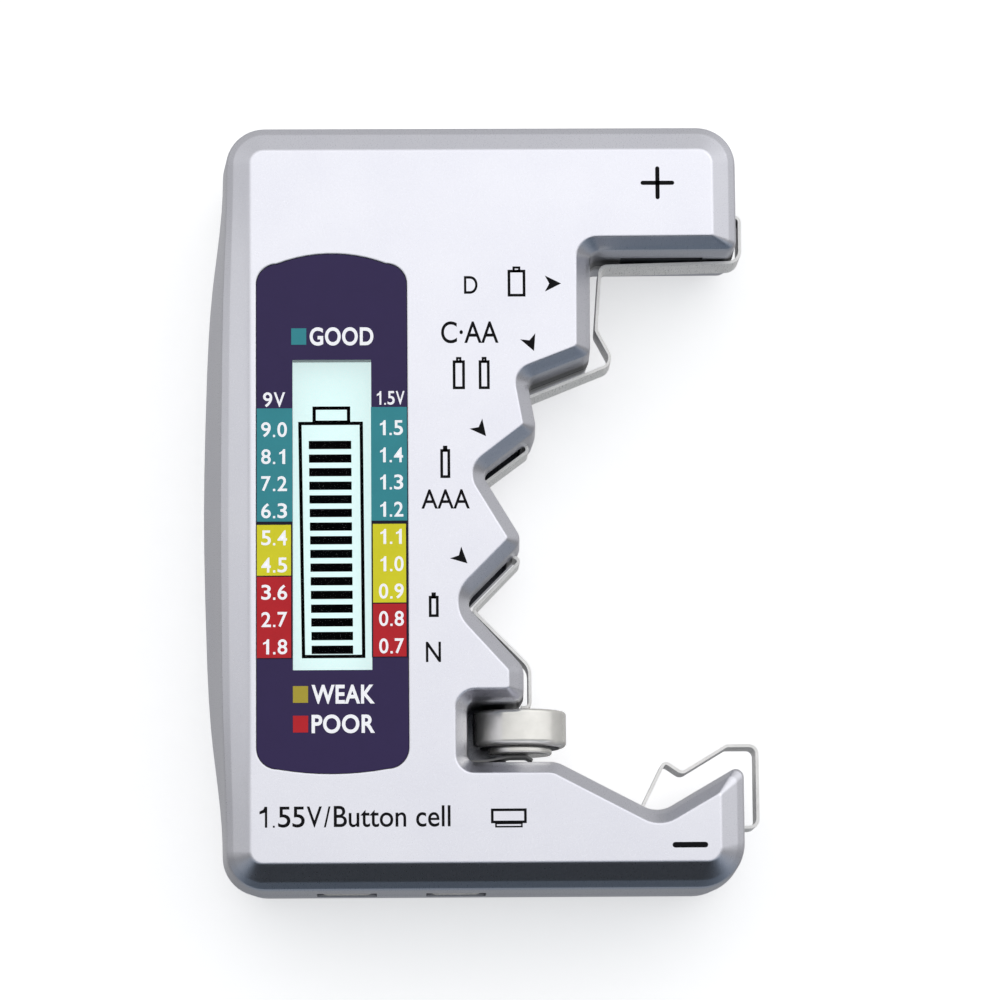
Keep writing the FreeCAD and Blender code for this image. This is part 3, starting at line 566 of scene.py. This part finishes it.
# Words of the key, with the ink of the square beside each, left edge, foot and height.
LEGEND = [
    ("GOOD", INK_TEAL, -20.9, 19.3, 2.3),
    ("WEAK", INK_OCHRE, -20.77, -25.0, 2.35),
    ("POOR", INK_RED, -20.77, -28.6, 2.3),
]
LEGEND_RIGHT = -13.05
LEGEND_GAP = 0.42
SQUARE_WIDTH = 1.85
SQUARE_HEIGHT = 2.05


def draw_backing(bm):
    """Navy ground that shows between the bands of both scales."""
    for (left, right), side in ((SCALE_LEFT, 1), (SCALE_RIGHT, 2)):
        low = min(band[side][0] for band in BANDS.values()) - BACKING_BELOW
        high = BANDS["teal"][side][0] + BACKING_ABOVE
        add_box(bm, left, right, low, high)


def draw_label_figures(bm):
    """Scale figures, the heading of each scale and the words of the key."""
    for words, left, right, first, last in VOLTS:
        figures = words.split()
        pitch = (last - first) / (len(figures) - 1)
        for i, volts in enumerate(figures):
            low = first + i * pitch - VOLT_HEIGHT / 2
            add_figures(bm, volts, left, right, low, low + VOLT_HEIGHT, weight=0.014)
    add_figures(bm, "9V", -26.64, -23.94, 11.66, 13.5, weight=0.012)
    add_figures(bm, "1.5V", -12.82, -9.25, 11.9, 13.6, weight=0.012, thin=0.85)
    for words, _, left, low, height in LEGEND:
        add_words(bm, words, left, LEGEND_RIGHT, low, low + height, weight=0.026, spacing=1.06)


def print_label():
    """Coloured bands, scales and legend on the display's label."""
    print_layer("label_separators", draw_backing, LABEL_Z, INK_NAVY)
    for name, (colour, left_span, right_span) in BANDS.items():

        def band(bm):
            margin = 0.0 if name == "teal" else BAND_MARGIN
            add_box(bm, SCALE_LEFT[0], SCALE_LEFT[1] - margin, *sorted(left_span))
            add_box(bm, SCALE_RIGHT[0] + margin, SCALE_RIGHT[1] - margin, *sorted(right_span))

        print_layer(f"label_{name}_band", band, LABEL_Z + INK_THICKNESS, colour)

    print_layer("label_figures", draw_label_figures, LABEL_Z + 2 * INK_THICKNESS, INK_WHITE)
    for words, colour, left, low, height in LEGEND:

        def square(bm):
            right = left - LEGEND_GAP
            foot = low + (height - SQUARE_HEIGHT) / 2
            add_box(bm, right - SQUARE_WIDTH, right, foot, foot + SQUARE_HEIGHT)

        print_layer(f"label_{words.lower()}_square", square, LABEL_Z + INK_THICKNESS, colour)


# ---------------------------------------------------------------- display

# Outline of the battery picture, which leans very slightly, and its line width.
LCD_BODY = [(-22.0, -19.08), (-14.2, -19.08), (-14.4, 10.29), (-22.4, 10.29)]
LCD_CAP = [(-20.63, 10.02), (-15.96, 10.02), (-15.96, 12.2), (-20.63, 12.2)]
LCD_LINE = 0.42

# Number, pitch and height of the bars, and the uppermost one's left end, right end and top.
LCD_BARS = 16
LCD_PITCH = 1.695
LCD_BAR_HEIGHT = 1.03
LCD_FIRST_BAR = (-21.1, -15.85, 7.9)
# How far the left and the right end of each bar stand to the right of the one above.
LCD_LEAN = (0.02, 0.01)


def draw_lcd_outline(bm):
    add_outline(bm, LCD_BODY, LCD_LINE)
    add_outline(bm, LCD_CAP, LCD_LINE)


def draw_lcd_bars(bm):
    left, right, top = LCD_FIRST_BAR
    for i in range(LCD_BARS):
        high = top - i * LCD_PITCH
        bar_left = left + i * LCD_LEAN[0]
        bar_right = right + i * LCD_LEAN[1]
        add_box(bm, bar_left, bar_right, high - LCD_BAR_HEIGHT, high)


def make_display():
    """Pale picture of the display with its battery outline and black bars."""
    bm = bmesh.new()
    low = LCD_LOW / MM
    high = LCD_HIGH / MM
    add_box(bm, low.x, high.x, low.y, high.y)
    solid_sheet(bm, LCD_LOW.z, LCD_HIGH.z - LCD_LOW.z)
    mesh = bpy.data.meshes.new("lcd_picture")
    bm.to_mesh(mesh)
    bm.free()
    picture = finish_piece("lcd_picture", mesh, LCD_PALE)
    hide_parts("lcd_polariser")
    print_layer("lcd_outline", draw_lcd_outline, LCD_HIGH.z, LCD_BLACK)
    print_layer("lcd_bars", draw_lcd_bars, LCD_HIGH.z, LCD_BLACK)


# ---------------------------------------------------------------- marks printed on the face


# Strokes of the plus and minus signs: start, end and width.
SIGN_STROKES = [
    ((20.4, 39.62), (24.06, 39.62), 0.52),
    ((22.23, 37.8), (22.23, 41.44), 0.52),
    ((23.4, -42.43), (27.06, -42.43), 0.68),
]
# Words and their boxes: left, right, foot and top.
FACE_WORDS = [
    ("D", -1.84, -0.17, 25.73, 27.95),
    ("C·AA", -4.7, 2.37, 19.54, 22.28),
    ("AAA", -7.24, -1.31, -1.03, 1.36),
    ("N", -6.8, -4.96, -19.94, -17.45),
    ("Button cell", -18.1, -3.92, -40.05, -37.45),
]
BUTTON_VOLTS = ("1.55V/", -27.4, -18.5, -40.05, -37.5)
FACE_WEIGHT = 0.006
# Bodies of the upright cell pictures: left, right, foot and top.
CELL_ICONS = [
    (3.55, 5.75, 25.36, 28.72),
    (-3.3, -1.8, 13.8, 17.4),
    (-0.1, 1.25, 13.8, 17.4),
    (-4.9, -3.68, 2.76, 6.35),
    (-6.41, -5.2, -14.41, -11.8),
]
ICON_LINE = 0.34
ICON_CAP_HEIGHT = 0.42
ICON_CAP_INSET = 0.28
ICON_CAP_LINE = 0.272
# The button cell's picture: body and cap, each with its line width.
BUTTON_ICON = [
    ((1.0, 5.35, -39.68, -37.89), 0.32),
    ((1.5, 4.85, -40.2, -39.6), 0.2),
]
# Arrows: where the tip is, and which way it points, in degrees.
ARROWS = [
    ((10.15, 26.98), 0),
    ((6.74, 18.53), -67.7),
    ((0.75, 7.93), -51.6),
    ((-1.64, -7.82), -43.3),
]
ARROW_LENGTH = 2.0
ARROW_WIDTH = 2.02
ARROW_NOTCH = 0.55


def arrow(tip, angle):
    """Notched arrowhead whose tip points along an angle in degrees."""
    back, half = -ARROW_LENGTH, ARROW_WIDTH / 2
    shape = [(0, 0), (back, half), (back + ARROW_NOTCH, 0), (back, -half)]
    turn = math.radians(angle)
    return [
        (
            tip[0] + x * math.cos(turn) - y * math.sin(turn),
            tip[1] + x * math.sin(turn) + y * math.cos(turn),
        )
        for x, y in shape
    ]


def add_frame(bm, left, right, low, high, line):
    """Outline of an upright rectangle."""
    add_outline(bm, [(left, low), (right, low), (right, high), (left, high)], line)


def cell_icon(bm, left, right, low, high):
    """Upright outline of a round cell with its small cap."""
    reach = (right - left) * ICON_CAP_INSET
    add_frame(bm, left, right, low, high, ICON_LINE)
    cap_low, cap_high = high - ICON_LINE, high + ICON_CAP_HEIGHT
    add_frame(bm, left + reach, right - reach, cap_low, cap_high, ICON_CAP_LINE)


def draw_face_marks(bm):
    """Polarity signs, cell sizes, cell outlines and arrows in black ink."""
    for start, end, width in SIGN_STROKES:
        rounded_bar(bm, start, end, width)
    for place in FACE_WORDS:
        add_words(bm, *place, weight=FACE_WEIGHT)
    add_figures(bm, *BUTTON_VOLTS, weight=FACE_WEIGHT, thin=0.62)
    for place in CELL_ICONS:
        cell_icon(bm, *place)
    for place, line in BUTTON_ICON:
        add_frame(bm, *place, line)
    for tip, angle in ARROWS:
        add_polygon(bm, arrow(tip, angle))


# ---------------------------------------------------------------- stage, light and camera

# Where the camera looks, how far off it is, and how it leans, in degrees.
VIEW_TARGET = Vector((2.4, 0.0, 23.0)) * MM
VIEW_DISTANCE = 581.6 * MM
VIEW_AZIMUTH = -9.08
VIEW_ELEVATION = 81.91
VIEW_ROLL = 0.45
LENS_LENGTH = 170.6


def make_camera():
    """Camera almost over the face, leaning a little towards the lower edge."""
    azimuth = math.radians(VIEW_AZIMUTH)
    elevation = math.radians(VIEW_ELEVATION)
    flat = math.cos(elevation)
    back = Vector(
        (math.sin(azimuth) * flat, -math.cos(azimuth) * flat, math.sin(elevation))
    )
    right = Vector((0, 1, 0)).cross(back).normalized()
    turn = Matrix((right, back.cross(right), back)).transposed()
    turn = turn @ Matrix.Rotation(math.radians(VIEW_ROLL), 3, "Z").inverted()
    data = bpy.data.cameras.new("view")
    data.lens = LENS_LENGTH
    camera = bpy.data.objects.new("view", data)
    camera.matrix_world = Matrix.Translation(VIEW_TARGET + back * VIEW_DISTANCE) @ turn.to_4x4()
    bpy.context.scene.collection.objects.link(camera)
    bpy.context.scene.camera = camera


# Brightness of the room against the y and the z of the direction that is looked in.
ROOM_ALONG_Y = [
    (-1.0, 0.0),
    (-0.84, 0.0),
    (-0.68, 0.25),
    (-0.45, 0.5),
    (-0.14, 0.4),
    (0.0, 0.9),
    (0.2, 1.22),
    (1.0, 1.02),
]
ROOM_ALONG_Z = [(-1.0, 0.28), (-0.2, 0.3), (0.0, 0.4), (0.2, 0.76), (0.5, 0.95), (1.0, 1.0)]
# Light added low down, all round.
ROOM_FILL = 0.14
ROOM_COLOUR = (0.985, 0.99, 1.0)
ROOM_COLOUR_LOW = (0.72, 0.93, 1.2)
# The highest tone that a curve can hold, so that its node's values stay under 1.
CURVE_TOP = 2


def tone_curve(tree, value, points):
    """Smooth curve of tones against one part of a direction, given as shares of CURVE_TOP."""
    node = tree.nodes.new("ShaderNodeFloatCurve")
    curve = node.mapping.curves[0]
    while len(curve.points) < len(points):
        curve.points.new(0.5, 0.5)
    for point, (place, tone) in zip(curve.points, points):
        point.location = ((place + 1) / 2, tone / CURVE_TOP)
    node.mapping.update()
    shifted = ramp(tree, value, 0, 1, -1, 1)
    tree.links.new(shifted, node.inputs["Value"])
    return node.outputs["Value"]


def combined(tree, first, second, operation):
    """Result of one arithmetic step on two values, each a number or a node's output."""
    node = tree.nodes.new("ShaderNodeMath")
    node.operation = operation
    for socket, value in zip(node.inputs, (first, second)):
        if isinstance(value, (int, float)):
            socket.default_value = value
        else:
            tree.links.new(value, socket)
    return node.outputs["Value"]


def multiplied(tree, first, second):
    return combined(tree, first, second, "MULTIPLY")


def added(tree, first, second):
    return combined(tree, first, second, "ADD")


def make_room():
    """Soft light from all round: brightest overhead, dim towards the lower edge of the object."""
    world = bpy.data.worlds.new("room")
    world.use_nodes = True
    tree = world.node_tree
    direction = tree.nodes.new("ShaderNodeTexCoord").outputs["Generated"]
    parts = tree.nodes.new("ShaderNodeSeparateXYZ")
    tree.links.new(direction, parts.inputs["Vector"])
    along_y = tone_curve(tree, parts.outputs["Y"], ROOM_ALONG_Y)
    along_z = tone_curve(tree, parts.outputs["Z"], ROOM_ALONG_Z)
    side = ramp(tree, parts.outputs["X"], 0.76, 1.1, -1, 0.5)
    full = CURVE_TOP**2
    fill = ramp(tree, parts.outputs["Z"], ROOM_FILL / full, 0, -0.1, 0.22)
    tone = added(tree, multiplied(tree, multiplied(tree, along_y, along_z), side), fill)
    background = tree.nodes["Background"]
    tree.links.new(multiplied(tree, tone, full), background.inputs["Strength"])
    shade = ramp(tree, parts.outputs["Y"], 0, 1, -0.85, -0.2)
    tint = blend_colours(tree, shade, ROOM_COLOUR_LOW, ROOM_COLOUR)
    tree.links.new(tint, background.inputs["Color"])
    bpy.context.scene.world = world


FLOOR_SHADE = (0.72, 0.72, 0.72)
FLOOR_GLOW = 0.8
FLOOR_REACH = 2500
BACKDROP_GLOW = 1.05
BACKDROP_REACH = 2.4
BACKDROP_FOOT = -0.01
BACKDROP_HEIGHT = 2.6
BACKDROP_SIDES = 48


def paper(name, glow):
    """Matt pale paper with a little light of its own."""
    return moulded(name, FLOOR_SHADE, 0.9, 0.01, 2 * MM, glow=glow)


def make_backdrop():
    """Pale round wall far behind the object, seen by the camera alone."""
    mesh = bpy.data.meshes.new("backdrop")
    bm = bmesh.new()
    low_ring, high_ring = [], []
    for i in range(BACKDROP_SIDES):
        angle = 2 * math.pi * i / BACKDROP_SIDES
        x = BACKDROP_REACH * math.cos(angle)
        y = BACKDROP_REACH * math.sin(angle)
        low_ring.append(bm.verts.new((x, y, BACKDROP_FOOT)))
        high_ring.append(bm.verts.new((x, y, BACKDROP_HEIGHT)))
    for i in range(BACKDROP_SIDES):
        after = (i + 1) % BACKDROP_SIDES
        bm.faces.new([low_ring[i], high_ring[i], high_ring[after], low_ring[after]])
    bm.to_mesh(mesh)
    bm.free()
    backdrop = bpy.data.objects.new("backdrop", mesh)
    bpy.context.scene.collection.objects.link(backdrop)
    mesh.materials.append(paper("backdrop_paper", BACKDROP_GLOW))
    backdrop.visible_glossy = False
    backdrop.visible_diffuse = False
    backdrop.visible_shadow = False


def make_stage():
    """Pale floor and backdrop in a softly lit room."""
    mesh = bpy.data.meshes.new("floor")
    bm = bmesh.new()
    add_box(bm, -FLOOR_REACH, FLOOR_REACH, -FLOOR_REACH, FLOOR_REACH)
    bm.to_mesh(mesh)
    bm.free()
    floor = bpy.data.objects.new("floor", mesh)
    bpy.context.scene.collection.objects.link(floor)
    mesh.materials.append(paper("floor_paper", FLOOR_GLOW))
    floor.visible_glossy = False
    make_backdrop()
    make_room()
    bpy.context.scene.view_settings.view_transform = "Standard"


dress_nodes()
print_label()
make_display()
print_layer("face_marks", draw_face_marks, FACE_Z, INK_BLACK)
make_stage()
make_camera()
